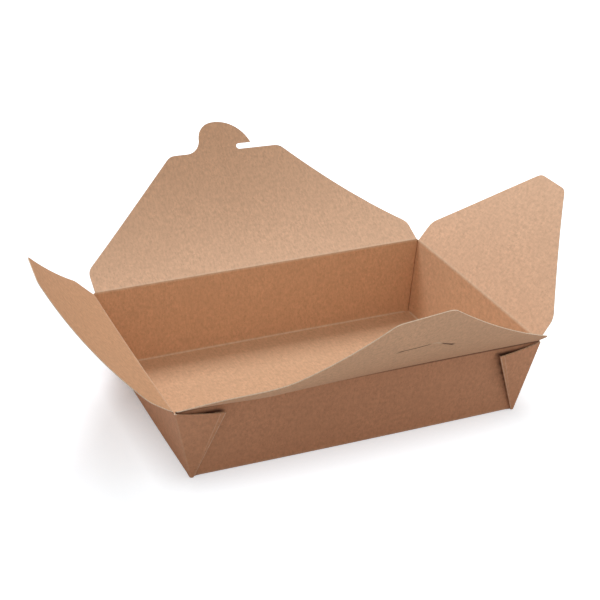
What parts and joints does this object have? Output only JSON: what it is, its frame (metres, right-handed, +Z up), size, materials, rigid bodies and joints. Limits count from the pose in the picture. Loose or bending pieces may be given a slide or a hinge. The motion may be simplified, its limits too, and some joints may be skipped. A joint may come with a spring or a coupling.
{
  "type": "takeaway box",
  "caption": "Open takeaway box folded from one sheet of kraft board, with flared walls, folded corner webs and lid flaps closed by a hook tab in a slit.",
  "frame": {"origin": "Middle of the underside of the base panel, on the surface that the box stands on.", "axes": "+Z is up out of the box. +X runs along the long sides towards the right end flap, and +Y points from the front wall to the back wall, whose flap has the hook tab."},
  "size_m": [0.3212, 0.3122, 0.1189],
  "materials": {
    "kraft_board": "matte"
  },
  "bodies": {
    "tray": {"tray": "kraft_board"},
    "back_flap": {"back_flap": "kraft_board"},
    "front_flap": {"front_flap": "kraft_board"},
    "left_end_flap": {"left_end_flap": "kraft_board"},
    "right_end_flap": {"right_end_flap": "kraft_board"}
  },
  "joints": [
    {"name": "back_flap_fold", "type": "hinge", "parent": "tray", "child": "back_flap", "pos_m": [0, 0.07825, 0.0465], "axis": [1, 0, 0], "range_deg": [-54, 134.5]},
    {"name": "front_flap_fold", "type": "hinge", "parent": "tray", "child": "front_flap", "pos_m": [0, -0.07825, 0.0465], "axis": [-1, 0, 0], "range_deg": [-60, 142.5]},
    {"name": "left_end_flap_fold", "type": "hinge", "parent": "tray", "child": "left_end_flap", "pos_m": [-0.1085, 0, 0.0459], "axis": [0, 1, 0], "range_deg": [-75, 146]},
    {"name": "right_end_flap_fold", "type": "hinge", "parent": "tray", "child": "right_end_flap", "pos_m": [0.1085, 0, 0.0459], "axis": [0, -1, 0], "range_deg": [-82, 134]}
  ]
}
